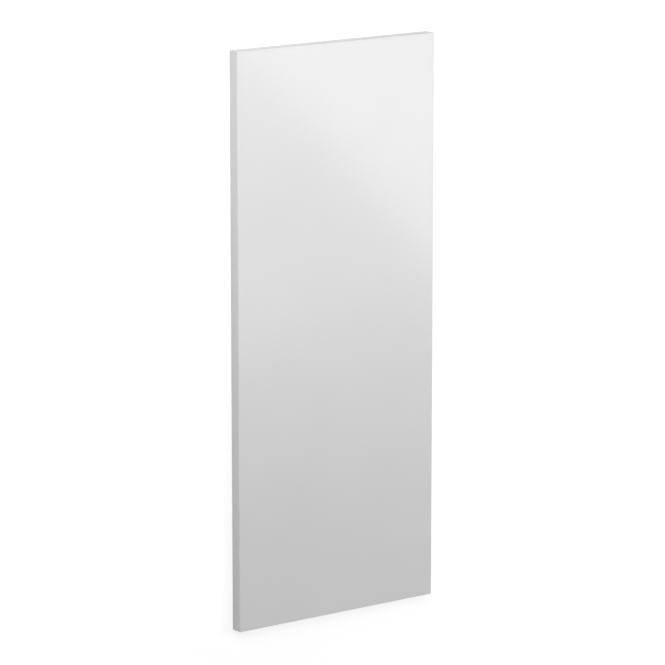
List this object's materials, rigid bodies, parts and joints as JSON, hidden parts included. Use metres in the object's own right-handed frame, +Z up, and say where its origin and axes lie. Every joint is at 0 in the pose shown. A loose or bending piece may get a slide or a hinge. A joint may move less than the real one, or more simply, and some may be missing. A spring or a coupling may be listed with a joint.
{
  "type": "bath panel",
  "caption": "Flat rectangular gloss white board with square corners and eased edges, fixed to a bath's frame to close in its side.",
  "frame": {"origin": "centre of the back face, which lies on the floor", "axes": "+Y along the length, towards the end that is uppermost in the picture; +X across the width, to the picture's right; +Z up, out of the show face"},
  "size_m": [0.35, 0.85, 0.018],
  "materials": {
    "white_gloss_board": "gloss"
  },
  "bodies": {
    "root": {"bath_panel": "white_gloss_board"}
  },
  "joints": []
}
